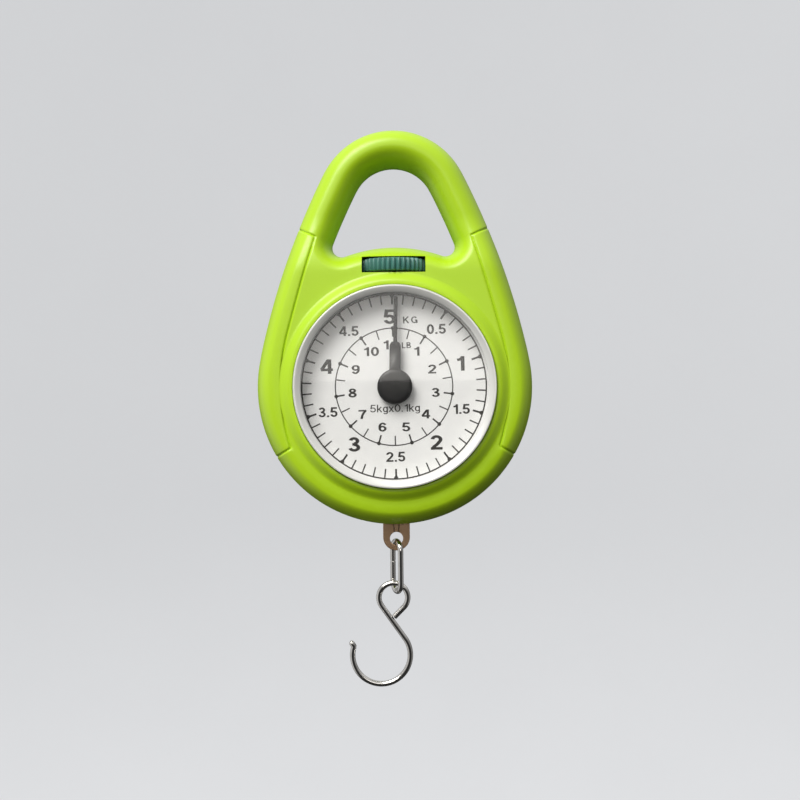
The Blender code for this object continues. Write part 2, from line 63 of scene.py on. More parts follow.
# case outline, as in the CAD model
LOW_R, TOP_R, TOP_Z = 50.5, 28.5, 65.85
SIDE_R, SIDE_X, SIDE_Z = 280.0, -224.5, -47.4
BAND, SILL_R, CORNER_R = 13.5, 51.3, 3.7
HANG_Z = TOP_Z + TOP_R - BAND
WALL, EDGE = 2.0, 6.6
FRONT_Y, BACK_Y = 15.0, 14.0
HANDLE_SHARE, THIN_FROM, THIN_TO = 0.76, 41.0, 62.0
WINDOW_R, CREST_R, COLLAR_BASE_R, COLLAR_Y = 36.4, 37.3, 41.2, 17.3
BEZEL_R, BEZEL_IN_R = 36.1, 33.5
DIAL_R, DIAL_Y = 34.3, (-11.6, -11.0)
MECH_Y = -3.0
WHEEL_R, WHEEL_Z, WHEEL_RIBS = 13.5, 43.8, 44
SLOT_X, SLOT_H = 11.4, 5.9
SCREWS = {
    "case_screw_low_left": (-29.4, -29.4, 9.0),
    "case_screw_low_right": (29.4, -29.4, 9.0),
    "case_screw_mid_left": (-34.0, 38.0, 9.0),
    "case_screw_mid_right": (34.0, 38.0, 9.0),
    "case_screw_handle": (0.0, TOP_Z + TOP_R - BAND / 2, 6.2),
}
PILLAR_X, PILLAR_ZS = 21.5, (-27.0, 30.0)

# ---------------------------------------------------------------- mesh helpers


def mesh_object(name, verts, faces, mat=None, smooth=40.0, weld=0.002):
    """A mesh from points in millimetres round the dial centre. Edges over smooth degrees stay sharp."""
    mesh = bpy.data.meshes.new(name)
    mesh.from_pydata([(x * MM, y * MM, (z - HANG_Z) * MM) for x, y, z in verts], [], faces)
    bm = bmesh.new()
    bm.from_mesh(mesh)
    if weld:
        bmesh.ops.remove_doubles(bm, verts=bm.verts, dist=weld * MM)
    bmesh.ops.recalc_face_normals(bm, faces=bm.faces)
    bm.to_mesh(mesh)
    bm.free()
    mesh.shade_smooth()
    mesh.set_sharp_from_angle(angle=math.radians(smooth))
    obj = bpy.data.objects.new(name, mesh)
    bpy.context.scene.collection.objects.link(obj)
    if mat:
        mesh.materials.append(mat)
    return obj


def apply_modifiers(obj):
    graph = bpy.context.evaluated_depsgraph_get()
    shaped = obj.evaluated_get(graph)
    mesh = bpy.data.meshes.new_from_object(shaped, preserve_all_data_layers=True, depsgraph=graph)
    obj.modifiers.clear()
    obj.data = mesh


def boolean(obj, other, operation, smooth=40.0):
    """Applies an exact Boolean and removes the tool."""
    mod = obj.modifiers.new("cut", "BOOLEAN")
    mod.operation = operation
    mod.solver = "EXACT"
    mod.object = other
    bpy.context.view_layer.update()
    apply_modifiers(obj)
    bpy.data.objects.remove(other, do_unlink=True)
    obj.data.set_sharp_from_angle(angle=math.radians(smooth))


def bevel(obj, width, segments=2, angle=35.0):
    mod = obj.modifiers.new("edge", "BEVEL")
    mod.width = width * MM
    mod.segments = segments
    mod.limit_method = "ANGLE"
    mod.angle_limit = math.radians(angle)
    mod.harden_normals = True
    bpy.context.view_layer.update()
    apply_modifiers(obj)


def piece(obj, body, slot, *nodes):
    """Puts a finished piece on its body and hides the CAD nodes that it stands for. The slot argument is not
    used.
    """
    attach(obj, body)
    if nodes:
        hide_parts(*nodes)
    return obj


def lathe(name, profile, centre, axis="Y", segments=96, mat=None, smooth=40.0):
    """Turns a closed profile of (radius, position along the axis) round an axis through the centre."""
    cx, cy, cz = centre
    verts, rings = [], []
    for r, h in profile:
        ring = []
        for k in range(segments if r > 0 else 1):
            a = 2 * math.pi * k / segments
            u, v = r * math.cos(a), r * math.sin(a)
            verts.append((cx + u, cy + h, cz + v) if axis == "Y" else (cx + u, cy + v, cz + h))
            ring.append(len(verts) - 1)
        rings.append(ring)
    faces = []
    for i, ring in enumerate(rings):
        other = rings[(i + 1) % len(rings)]
        for k in range(segments):
            n = (k + 1) % segments
            corners = [ring[k % len(ring)], ring[n % len(ring)]]
            corners += [other[n % len(other)], other[k % len(other)]]
            corners = list(dict.fromkeys(corners))
            if len(corners) > 2:
                faces.append(corners)
    return mesh_object(name, verts, faces, mat, smooth)


def rod(name, r, ends, centre, axis="Y", segments=48, mat=None):
    low, high = ends
    return lathe(name, [(0, low), (r, low), (r, high), (0, high)], centre, axis, segments, mat)


def block(name, xs, ys, zs, mat=None):
    verts = [(x, y, z) for x in xs for y in ys for z in zs]
    faces = [(0, 1, 3, 2), (4, 6, 7, 5), (0, 4, 5, 1), (2, 3, 7, 6), (0, 2, 6, 4), (1, 5, 7, 3)]
    return mesh_object(name, verts, faces, mat)


def flat_union(name, polygons, ys, mat=None, holes=(), smooth=40.0):
    """A flat plate between two y values whose outline is the union of the polygons, less the holes."""
    verts, faces, edges = [], [], []
    for poly in polygons:
        start = len(verts)
        turn = sum(a[0] * b[1] - b[0] * a[1] for a, b in zip(poly, poly[1:] + poly[:1]))
        verts += [Vector(p) for p in (poly if turn > 0 else poly[::-1])]
        faces.append(list(range(start, len(verts))))
    for hole in holes:
        start = len(verts)
        verts += [Vector(p) for p in hole]
        edges += [(start + k, start + (k + 1) % len(hole)) for k in range(len(hole))]
    points, _, tris, _, _, sources = delaunay_2d_cdt(verts, edges, faces, 1, 1e-5)
    kept = []
    for tri, source in zip(tris, sources):
        mid = sum((points[k] for k in tri), Vector((0, 0))) / len(tri)
        if source and not any(inside(mid, hole) for hole in holes):
            kept.append(tri)
    n = len(points)
    solid_verts = [(p[0], ys[0], p[1]) for p in points] + [(p[0], ys[1], p[1]) for p in points]
    solid_faces = [tuple(t) for t in kept] + [tuple(k + n for k in reversed(t)) for t in kept]
    seen = {}
    for tri in kept:
        for a, b in zip(tri, tri[1:] + tri[:1]):
            seen[(a, b)] = True
    for a, b in seen:
        if (b, a) not in seen:
            solid_faces.append((b, a, a + n, b + n))
    return mesh_object(name, solid_verts, solid_faces, mat, smooth, 0)


def tube(name, path, radius, sides=24, closed=False, mat=None):
    """A round wire along a path. radius is a number, or a function of the distance along in millimetres."""
    points = [Vector(p) for p in path]
    count = len(points)
    along = [0.0]
    for a, b in zip(points, points[1:]):
        along.append(along[-1] + (b - a).length)
    wide = radius if callable(radius) else (lambda s: radius)
    tangents = []
    for i in range(count):
        before = points[i - 1] if closed or i else points[0]
        after = points[(i + 1) % count] if closed or i < count - 1 else points[-1]
        tangents.append((after - before).normalized())
    normal = tangents[0].orthogonal().normalized()
    if closed:
        normal = (points[0] - points[count // 3]).cross(points[0] - points[2 * count // 3]).normalized()
    verts, faces = [], []
    for point, tangent, s in zip(points, tangents, along):
        if not closed:
            normal = (normal - tangent * normal.dot(tangent)).normalized()
        side = tangent.cross(normal)
        r = wide(s)
        for k in range(sides):
            a = 2 * math.pi * k / sides
            verts.append(tuple(point + (normal * math.cos(a) + side * math.sin(a)) * r))
    for i in range(count if closed else count - 1):
        j = (i + 1) % count
        for k in range(sides):
            n = (k + 1) % sides
            faces.append((i * sides + k, i * sides + n, j * sides + n, j * sides + k))
    if not closed:
        faces.append(tuple(range(sides)))
        faces.append(tuple(range(count * sides - 1, (count - 1) * sides - 1, -1)))
    return mesh_object(name, verts, faces, mat)


def arc(cx, cz, r, start, end, steps):
    """Points on a circle from one angle to another in degrees, without the last."""
    return [
        (cx + r * math.cos(math.radians(a)), cz + r * math.sin(math.radians(a)))
        for a in (start + (end - start) * k / steps for k in range(steps))
    ]


def inside(point, outline):
    x, z = point
    odd = False
    for (x0, z0), (x1, z1) in zip(outline, outline[1:] + outline[:1]):
        if (z0 > z) != (z1 > z) and x < x0 + (x1 - x0) * (z - z0) / (z1 - z0):
            odd = not odd
    return odd


# ---------------------------------------------------------------- case outlines

LOW_TANGENT = math.degrees(math.atan2(-SIDE_Z, -SIDE_X))
TOP_TANGENT = math.degrees(math.atan2(TOP_Z - SIDE_Z, -SIDE_X))


def mirrored(right):
    return right + [(-x, z) for x, z in reversed(right[1:])]


def case_outline(inset, fine=1):
    """The outside of the case, moved inwards."""
    right = arc(0, 0, LOW_R - inset, -90, LOW_TANGENT, 40 * fine)
    right += arc(SIDE_X, SIDE_Z, SIDE_R - inset, LOW_TANGENT, TOP_TANGENT, 34 * fine)
    right += arc(0, TOP_Z, TOP_R - inset, TOP_TANGENT, 90, 18 * fine)
    return mirrored(right + [(0.0, TOP_Z + TOP_R - inset)])


def corner_centre():
    """Centre of the fillet at the right end of the opening's sill."""
    far, near, apart = SIDE_R - BAND - CORNER_R, SILL_R + CORNER_R, math.hypot(SIDE_X, SIDE_Z)
    turn = math.acos((near**2 + apart**2 - far**2) / (2 * near * apart))
    a = math.atan2(SIDE_Z, SIDE_X) % (2 * math.pi) - turn
    return near * math.cos(a), near * math.sin(a), math.degrees(a)


def opening_outline(grow, fine=1):
    """The finger opening in the handle, moved outwards."""
    fx, fz, fa = corner_centre()
    side = math.degrees(math.atan2(fz - SIDE_Z, fx - SIDE_X))
    right = arc(0, 0, SILL_R - grow, 90, fa, 14 * fine)
    right += arc(fx, fz, CORNER_R + grow, fa - 180, side, 22 * fine)
    right += arc(SIDE_X, SIDE_Z, SIDE_R - BAND + grow, side, TOP_TANGENT, 24 * fine)
    right += arc(0, TOP_Z, TOP_R - BAND + grow, TOP_TANGENT, 90, 20 * fine)
    return mirrored(right + [(0.0, TOP_Z + TOP_R - BAND + grow)])


def depth_share(z):
    """How deep the case is at this height, against the body."""
    t = min(max((z - THIN_FROM) / (THIN_TO - THIN_FROM), 0.0), 1.0)
    return 1 - (1 - HANDLE_SHARE) * t * t * (3 - 2 * t)


def inset_of(x, z):
    """How far inside the case outline a point is, and the outward direction there."""
    s = 1 if x >= 0 else -1
    ax = abs(x)
    a = math.degrees(math.atan2(z - SIDE_Z, ax - SIDE_X))
    if a < LOW_TANGENT:
        cx, cz, r = 0.0, 0.0, LOW_R
    elif a > TOP_TANGENT:
        cx, cz, r = 0.0, TOP_Z, TOP_R
    else:
        cx, cz, r = SIDE_X, SIDE_Z, SIDE_R
    d = math.hypot(ax - cx, z - cz)
    if d < 1e-6:
        return r, (0.0, 0.0)
    return r - d, (s * (ax - cx) / d, (z - cz) / d)


# ---------------------------------------------------------------- side grooves

GROOVE_DEPTH, GROOVE_W, GROOVE_REACH = 0.5, 0.34, 1.4
GROOVE_ROWS = (-1.1, -0.75, -0.5, -0.3, -0.15, 0, 0.15, 0.3, 0.5, 0.75, 1.1)  # mesh rows across a groove
NOTCH_RISE = math.radians(26)
GROOVE_TOP, GROOVE_HIGH, GROOVE_JOIN = (28.05, 54.2), (34.0, 34.3), (38.5, 18.0)
GROOVE_WIDEST, GROOVE_LOW = (40.6, -2.0), (37.3, -21.6)


def circle_through(a, b, c):
    ax, ay, bx, by, cx, cy = *a, *b, *c
    d = 2 * (ax * (by - cy) + bx * (cy - ay) + cx * (ay - by))
    ux = ((ax**2 + ay**2) * (by - cy) + (bx**2 + by**2) * (cy - ay) + (cx**2 + cy**2) * (ay - by)) / d
    uy = ((ax**2 + ay**2) * (cx - bx) + (bx**2 + by**2) * (ax - cx) + (cx**2 + cy**2) * (bx - ax)) / d
    return ux, uy, math.hypot(ax - ux, ay - uy)


def groove_path(reach):
    """The right groove in the unrolled plane: out to the rim, along the side panel and out again."""
    line = []
    for a, b, c in ((GROOVE_TOP, GROOVE_HIGH, GROOVE_JOIN), (GROOVE_JOIN, GROOVE_WIDEST, GROOVE_LOW)):
        cx, cz, r = circle_through(a, b, c)
        start, end = (math.degrees(math.atan2(z - cz, x - cx)) for x, z in (a, c))
        line += arc(cx, cz, r, start, end, 30)
    line.append(GROOVE_LOW)
    out = math.atan2(GROOVE_LOW[1], GROOVE_LOW[0])
    first = (line[0][0] + reach * math.cos(NOTCH_RISE), line[0][1] + reach * math.sin(NOTCH_RISE))
    last = (GROOVE_LOW[0] + reach * math.cos(out), GROOVE_LOW[1] + reach * math.sin(out))
    return [first] + line + [last]


def spaced(path, step):
    """The same path with points a fixed distance apart."""
    out = []
    for (x0, z0), (x1, z1) in zip(path, path[1:]):
        n = max(1, round(math.hypot(x1 - x0, z1 - z0) / step))
        out += [(x0 + (x1 - x0) * k / n, z0 + (z1 - z0) * k / n) for k in range(n)]
    return out + [path[-1]]


class Grooves:
    """Distance to the nearest groove, looked up in a coarse grid of path points."""

    def __init__(self, paths):
        self.cells = {}
        for path in paths:
            for p, q in zip(path, path[1:]):
                key = (round(p[0] / 3), round(p[1] / 3))
                for i in (-1, 0, 1):
                    for j in (-1, 0, 1):
                        self.cells.setdefault((key[0] + i, key[1] + j), []).append((p, q))

    def distance(self, x, z):
        best = 9.0
        for (x0, z0), (x1, z1) in self.cells.get((round(x / 3), round(z / 3)), ()):
            dx, dz = x1 - x0, z1 - z0
            t = ((x - x0) * dx + (z - z0) * dz) / (dx * dx + dz * dz)
            t = min(max(t, 0.0), 1.0)
            best = min(best, math.hypot(x - x0 - t * dx, z - z0 - t * dz))
        return best


# ---------------------------------------------------------------- case shells

ROLL_STEPS = 600  # for measuring along the rounded edge
EDGE_ROWS, OPENING_ROWS, INNER_ROWS = 21, 30, 6
OPENING_FINE = 4
FACE_STEP, FACE_CLEAR = (1.4, 1.25), 0.8
INNER_STEP = 4
WINDOW_STEPS = 240


class Roll:
    """The rounded edge laid out flat: how long it is, and the angle round it at a distance along."""

    def __init__(self, depth):
        self.lengths = [0.0]
        for k in range(ROLL_STEPS):
            a0, a1 = (math.pi / 2 * (1 - m / ROLL_STEPS) for m in (k, k + 1))
            across, down = EDGE * (math.cos(a1) - math.cos(a0)), depth * (math.sin(a1) - math.sin(a0))
            self.lengths.append(self.lengths[-1] + math.hypot(across, down))
        self.reach = self.lengths[-1]

    def angle_at(self, u):
        lo, hi = 0, ROLL_STEPS
        while hi - lo > 1:
            mid = (lo + hi) // 2
            lo, hi = (mid, hi) if self.lengths[mid] <= u else (lo, mid)
        t = (u - self.lengths[lo]) / (self.lengths[hi] - self.lengths[lo])
        return math.pi / 2 * (1 - (lo + min(max(t, 0.0), 1.0)) / ROLL_STEPS)


def loop_edges(loops):
    """The loops' points in one list, and the edges between neighbours."""
    points, edges = [], []
    for loop in loops:
        start = len(points)
        points += loop
        edges += [(start + k, start + (k + 1) % len(loop)) for k in range(len(loop))]
    return points, edges


def face_grid(opening, window):
    """Points over the flat of the face, in rows that are offset by half a step."""
    across, up = FACE_STEP
    found = []
    z, row = -60.0, 0
    while z < 100:
        x = -60.0 + (across / 2 if row % 2 else 0.0)
        while x < 60:
            if inset_of(x, z)[0] > EDGE + 0.7 and not inside((x, z), opening):
                near = min(math.hypot(x - p[0], z - p[1]) for p in opening[::OPENING_FINE])
                if near > FACE_CLEAR and (not window or math.hypot(x, z) > window + FACE_CLEAR):
                    found.append((x, z))
            x += across
        z += up
        row += 1
    return found


def groove_rows(paths, grooves, least_inset):
    """Points in rows along each groove, so that its hollow is well meshed."""
    found = []
    for path in paths:
        for (x0, z0), (x1, z1) in zip(path, path[1:]):
            size = math.hypot(x1 - x0, z1 - z0)
            px, pz = -(z1 - z0) / size, (x1 - x0) / size
            for shift in GROOVE_ROWS:
                p = (x0 + px * shift, z0 + pz * shift)
                if inset_of(*p)[0] > least_inset and grooves.distance(*p) > abs(shift) - 0.02:
                    found.append(p)
    return found


def half_case(name, side, depth, collar, mat):
    """One half of the case. Its outside is laid out flat, so that edge and grooves are evenly meshed."""
    roll = Roll(depth)
    reach = roll.reach

    path = groove_path(reach + EDGE)
    paths = [spaced(path, 0.5), spaced([(-x, z) for x, z in path], 0.5)]
    grooves = Grooves(paths)

    def surface(x, z):
        """Real point for a point of the unrolled plane."""
        inset, (nx, nz) = inset_of(x, z)
        a = math.pi / 2 if inset >= EDGE else roll.angle_at(EDGE - inset)
        real = inset if inset >= EDGE else EDGE * (1 - math.cos(a))
        rx, rz = x - nx * (real - inset), z - nz * (real - inset)
        y = GAP / 2 + (depth - GAP / 2) * math.sin(a) * depth_share(rz)
        d = grooves.distance(x, z)
        if d < GROOVE_REACH:
            sink = GROOVE_DEPTH * math.exp(-((d / GROOVE_W) ** 2))
            out, up = math.cos(a) / EDGE, math.sin(a) / depth
            size = math.hypot(out, up)
            rx, rz, y = rx - nx * sink * out / size, rz - nz * sink * out / size, y - sink * up / size
        return rx, side * max(y, GAP / 2), rz

    verts, faces = [], []

    def strip(a, b):
        for k in range(len(a)):
            n = (k + 1) % len(a)
            faces.append((a[k], a[n], b[n], b[k]))

    def ring(points):
        start = len(verts)
        verts.extend(points)
        return list(range(start, len(verts)))

    # face and rounded edge
    loops = [case_outline(EDGE - reach), opening_outline(EDGE, OPENING_FINE)]
    if collar:
        loops.append(arc(0, 0, collar[0][0], 0, 360, WINDOW_STEPS))
    points, edges = loop_edges(loops)
    extra = []
    for k in range(1, EDGE_ROWS):
        extra += case_outline(EDGE - reach + (reach - 0.1) * k / EDGE_ROWS)
    extra += face_grid(loops[1], collar[0][0] if collar else 0)
    extra = [p for p in extra if grooves.distance(*p) > GROOVE_REACH - 0.05]
    extra += groove_rows(paths, grooves, EDGE - reach + 0.35)
    flat = delaunay_2d_cdt([Vector(p) for p in points + extra], edges, [], 1, 1e-5)
    start = len(verts)
    verts += [surface(p[0], p[1]) for p in flat[0]]
    for tri in flat[2]:
        mid = sum((flat[0][k] for k in tri), Vector((0, 0))) / 3
        if not any(inside(mid, loop) for loop in loops[1:]):
            faces.append(tuple(start + k for k in tri))

    # rounded edge of the finger opening
    around = []
    for k in range(OPENING_ROWS + 1):
        a = math.pi / 2 * (1 - k / OPENING_ROWS)
        row = []
        for x, z in opening_outline(EDGE * (1 - math.cos(a)), OPENING_FINE):
            sink = GROOVE_DEPTH * math.exp(-((grooves.distance(x, z) / GROOVE_W) ** 2))
            y = GAP / 2 + (depth - GAP / 2) * math.sin(a) * depth_share(z) - sink
            row.append((x, side * max(y, GAP / 2), z))
        around.append(ring(row))
    for a, b in zip(around, around[1:]):
        strip(a, b)

    # inside of the wall
    full = depth - WALL

    def inner(x, z, a):
        """Point on the inside of the wall, at an angle round its rounded edge."""
        return x, side * (GAP / 2 + (full - GAP / 2) * math.sin(a) * depth_share(z)), z

    inner_rims = []
    for outline, fine in ((case_outline, 1), (opening_outline, OPENING_FINE)):
        rows = []
        for k in range(INNER_ROWS + 1):
            a = math.pi / 2 * k / INNER_ROWS
            grow = WALL + (EDGE - WALL) * (1 - math.cos(a))
            rows.append(ring([inner(x, z, a) for x, z in outline(grow, fine)]))
        for a, b in zip(rows, rows[1:]):
            strip(a, b)
        inner_rims.append(rows[0])
    loops = [case_outline(EDGE), opening_outline(EDGE, OPENING_FINE)]
    if collar:
        loops.append(arc(0, 0, collar[-1][0], 0, 360, WINDOW_STEPS))
    points, edges = loop_edges(loops)
    opening = opening_outline(EDGE + 2)
    for z in range(-44, 60, INNER_STEP):
        for x in range(-42, 43, INNER_STEP):
            if inset_of(x, z)[0] > EDGE + 2 and not inside((x, z), opening):
                if not collar or math.hypot(x, z) > collar[0][0] + 1.5:
                    points.append((x, z))
    flat = delaunay_2d_cdt([Vector(p) for p in points], edges, [], 1, 1e-5)
    start = len(verts)
    verts += [inner(p[0], p[1], math.pi / 2) for p in flat[0]]
    for tri in flat[2]:
        mid = sum((flat[0][k] for k in tri), Vector((0, 0))) / 3
        if not any(inside(mid, loop) for loop in loops[1:]):
            faces.append(tuple(start + k for k in tri))

    # rims on the parting plane, then collar and window wall
    outer_rim = ring([(x, side * GAP / 2, z) for x, z in case_outline(0)])
    strip(outer_rim, inner_rims[0])
    strip(around[-1], inner_rims[1])
    turned = [ring([(x, side * y, z) for x, z in arc(0, 0, r, 0, 360, WINDOW_STEPS)]) for r, y in collar]
    for a, b in zip(turned, turned[1:]):
        strip(a, b)
    return mesh_object(name, verts, faces, mat, 50, 0.02)


# ---------------------------------------------------------------- materials


def node_material(name, colour, rough, metal=0.0):
    mat = bpy.data.materials.new(name)
    mat.use_nodes = True
    shader = mat.node_tree.nodes["Principled BSDF"]
    shader.inputs["Base Color"].default_value = (*colour, 1)
    shader.inputs["Roughness"].default_value = rough
    shader.inputs["Metallic"].default_value = metal
    mat.diffuse_color = (*colour, 1)
    return mat, mat.node_tree, shader


def textured(
    name, dark, light, rough, metal=0.0, scale=60.0, stretch=(1, 1, 1), bump=0.0, bump_scale=400.0
):
    """A surface with slow colour variation, a range of roughness and fine relief, all from noise."""
    mat, tree, shader = node_material(name, light, sum(rough) / 2, metal)
    nodes, links = tree.nodes, tree.links
    where = nodes.new("ShaderNodeTexCoord")
    mapping = nodes.new("ShaderNodeMapping")
    mapping.inputs["Scale"].default_value = stretch
    links.new(where.outputs["Object"], mapping.inputs["Vector"])
    slow = nodes.new("ShaderNodeTexNoise")
    slow.inputs["Scale"].default_value = scale
    slow.inputs["Detail"].default_value = 5
    links.new(mapping.outputs[0], slow.inputs["Vector"])
    ramp = nodes.new("ShaderNodeValToRGB")
    ramp.color_ramp.elements[0].position, ramp.color_ramp.elements[1].position = 0.3, 0.7
    ramp.color_ramp.elements[0].color = (*dark, 1)
    ramp.color_ramp.elements[1].color = (*light, 1)
    links.new(slow.outputs[0], ramp.inputs[0])
    links.new(ramp.outputs[0], shader.inputs["Base Color"])
    spread = nodes.new("ShaderNodeMapRange")
    spread.inputs["To Min"].default_value, spread.inputs["To Max"].default_value = rough
    fine = nodes.new("ShaderNodeTexNoise")
    fine.inputs["Scale"].default_value = bump_scale
    fine.inputs["Detail"].default_value = 3
    links.new(mapping.outputs[0], fine.inputs["Vector"])
    links.new(fine.outputs[0], spread.inputs["Value"])
    links.new(spread.outputs[0], shader.inputs["Roughness"])
    if bump:
        relief = nodes.new("ShaderNodeBump")
        relief.inputs["Strength"].default_value = bump
        relief.inputs["Distance"].default_value = 0.0002
        links.new(fine.outputs[0], relief.inputs["Height"])
        links.new(relief.outputs[0], shader.inputs["Normal"])
    return mat, shader


LIME, lime_shader = textured(
    "lime_plastic", (0.385, 0.610, 0.008), (0.405, 0.632, 0.010), (0.34, 0.44), 0.0, 35,
    bump=0.03, bump_scale=900,
)
lime_shader.inputs["Coat Weight"].default_value = 0.06
lime_shader.inputs["Coat Roughness"].default_value = 0.2
DIAL, _ = textured(
    "dial_card", (0.86, 0.86, 0.865), (0.90, 0.90, 0.905), (0.5, 0.65), 0.0, 300, bump=0.04, bump_scale=3000
)
INK, _ = textured(
    "dial_ink", (0.030, 0.028, 0.027), (0.045, 0.042, 0.04), (0.45, 0.6), 0.0, 800, bump_scale=2500
)
BLACK, _ = textured(
    "pointer_black", (0.010, 0.010, 0.011), (0.022, 0.021, 0.021), (0.32, 0.5), 0.0, 150,
    bump=0.1, bump_scale=1500,
)
TEAL, _ = textured(
    "teal_plastic", (0.035, 0.135, 0.110), (0.070, 0.215, 0.180), (0.3, 0.45), 0.0, 120,
    bump=0.06, bump_scale=1200,
)
SILVER, _ = textured("silver_trim", (0.72, 0.72, 0.69), (0.76, 0.76, 0.73), (0.27, 0.33), 0.3, 20)
NICKEL, _ = textured(
    "nickel_plate", (0.46, 0.29, 0.17), (0.58, 0.39, 0.25), (0.3, 0.42), 1.0, 160, bump=0.03, bump_scale=900
)
CHROME, _ = textured(
    "bright_nickel", (0.62, 0.60, 0.57), (0.80, 0.78, 0.75), (0.06, 0.16), 1.0, 180, bump=0.04, bump_scale=700
)
ZINC, _ = textured(
    "zinc_sheet", (0.44, 0.45, 0.47), (0.60, 0.61, 0.62), (0.3, 0.5), 1.0, 70, (1, 1, 6), bump=0.08
)
SPRING, _ = textured(
    "spring_wire", (0.20, 0.21, 0.22), (0.38, 0.39, 0.40), (0.25, 0.42), 1.0, 200, bump=0.05
)
BRASS, _ = textured("brass", (0.62, 0.42, 0.16), (0.80, 0.58, 0.25), (0.2, 0.38), 1.0, 110, bump=0.06)
NYLON, _ = textured("white_nylon", (0.66, 0.64, 0.57), (0.76, 0.74, 0.67), (0.45, 0.6), bump=0.05)


def clear_material(name):
    """Thin clear plastic: it lets light and sight through and mirrors a little at its faces."""
    mat, tree, _ = node_material(name, (0.95, 0.96, 0.95), 0.04)
    nodes, links = tree.nodes, tree.links
    nodes.remove(nodes["Principled BSDF"])
    clear = nodes.new("ShaderNodeBsdfTransparent")
    clear.inputs["Color"].default_value = (0.995, 0.995, 0.99, 1)
    gloss = nodes.new("ShaderNodeBsdfGlossy")
    gloss.inputs["Roughness"].default_value = 0.05
    facing = nodes.new("ShaderNodeLayerWeight")
    rise = nodes.new("ShaderNodeMath")
    rise.operation = "POWER"
    rise.inputs[1].default_value = 5
    links.new(facing.outputs["Facing"], rise.inputs[0])
    share = nodes.new("ShaderNodeMath")
    share.operation = "MULTIPLY_ADD"
    share.inputs[1].default_value, share.inputs[2].default_value = 0.96, 0.03
    links.new(rise.outputs[0], share.inputs[0])
    mix = nodes.new("ShaderNodeMixShader")
    links.new(share.outputs[0], mix.inputs[0])
    links.new(clear.outputs[0], mix.inputs[1])
    links.new(gloss.outputs[0], mix.inputs[2])
    links.new(mix.outputs[0], nodes["Material Output"].inputs["Surface"])
    return mat


CLEAR = clear_material("clear_plastic")

# ---------------------------------------------------------------- case

BOSS_R, PILOT_R, SHANK_R, HEAD_R = 3.0, 1.35, 1.35, 2.6
BACK_BOSS_R, HANDLE_HEAD_R = 3.4, 2.4
POST_R, POST_YS, POST_HOLE_YS = 2.8, (4.3, 12.6), (1, 8.6)
MOUTH_X, MOUTH_YS, MOUTH_ZS = 5.4, (-4.5, 5), (-56, -45)

collar = []
for k in range(17):  # soft rise from the face to the crest round the window
    t = k / 16
    rise = (COLLAR_Y - FRONT_Y) * t * t * (3 - 2 * t)
    collar.append((COLLAR_BASE_R + (CREST_R - COLLAR_BASE_R) * t, FRONT_Y + rise))
collar += [(WINDOW_R + 0.35, COLLAR_Y), (WINDOW_R + 0.1, COLLAR_Y - 0.1), (WINDOW_R, COLLAR_Y - 0.35)]
collar.append((WINDOW_R, FRONT_Y - WALL))
front = half_case("case_front", -1, FRONT_Y, collar, LIME)
for name, (x, z, _) in SCREWS.items():
    boss_end, pilot_end = (-9.6, -8.4) if name == "case_screw_handle" else (-13.6, -9.4)
    boolean(front, rod(name + "_boss", BOSS_R, (boss_end, -0.5), (x, 0, z)), "UNION", 50)
    boolean(front, rod(name + "_pilot", PILOT_R, (pilot_end, 1), (x, 0, z)), "DIFFERENCE", 50)
back = half_case("case_back", 1, BACK_Y, [], LIME)
low, high = WHEEL_Z - SLOT_H / 2, WHEEL_Z + SLOT_H / 2
for half in (front, back):
    room = rod("room", WHEEL_R + GAP, (low, high), (0, MECH_Y, 0), "Z", 120)
    boolean(half, room, "DIFFERENCE", 50)
boolean(front, block("slot", (-SLOT_X, SLOT_X), (-30, -8), (low, high)), "DIFFERENCE", 50)
boolean(front, block("mouth", (-MOUTH_X, MOUTH_X), MOUTH_YS, MOUTH_ZS), "DIFFERENCE", 50)
for name, (x, z, seat) in SCREWS.items():
    in_handle = name == "case_screw_handle"
    boss_r, boss_end = (BOSS_R, 8.9) if in_handle else (BACK_BOSS_R, 12.6)
    head_r = HANDLE_HEAD_R if in_handle else HEAD_R
    boolean(back, rod(name + "_boss", boss_r, (0.5, boss_end), (x, 0, z)), "UNION", 50)
    boolean(back, rod(name + "_hole", SHANK_R, (-1, 20), (x, 0, z)), "DIFFERENCE", 50)
    boolean(back, rod(name + "_recess", head_r, (seat, 20), (x, 0, z)), "DIFFERENCE", 50)
for x in (-PILLAR_X, PILLAR_X):
    for z in PILLAR_ZS:
        boolean(back, rod("post", POST_R, POST_YS, (x, 0, z)), "UNION", 50)
        boolean(back, rod("post_hole", PILOT_R, POST_HOLE_YS, (x, 0, z)), "DIFFERENCE", 50)
piece(front, "housing", "lime_case", "front_shell")
piece(back, "housing", "lime_case", "rear_shell")

# ---------------------------------------------------------------- bezel, lens and dial plate

lip = [(BEZEL_IN_R, -18.3), (BEZEL_IN_R + 0.12, -18.42), (BEZEL_R - 0.8, -19.12), (BEZEL_R - 0.5, -19.2)]
lip += [(BEZEL_R - 0.15, -19.1), (BEZEL_R, -18.8), (BEZEL_R, -12.2), (BEZEL_R - 1.1, -12.2)]
lip += [(BEZEL_R - 1.1, -18.2), (BEZEL_IN_R, -18.2)]
piece(lathe("bezel", lip, (0, 0, 0), segments=192, mat=SILVER), "housing", "silver_trim", "bezel_ring")
LENS_R, LENS_FRONT, LENS_T, DOME_RISE, DOME_STEPS = 34.3, -19.4, 1.3, 1.5, 24
shares = [k / DOME_STEPS for k in range(DOME_STEPS + 1)]
dome = [(LENS_R * t, LENS_FRONT + DOME_RISE * t**2) for t in shares]
lens = dome + [(r, y + LENS_T) for r, y in reversed(dome)]
piece(lathe("dial_lens", lens, (0, 0, 0), segments=128, mat=CLEAR), "housing", "clear_lens", "lens")
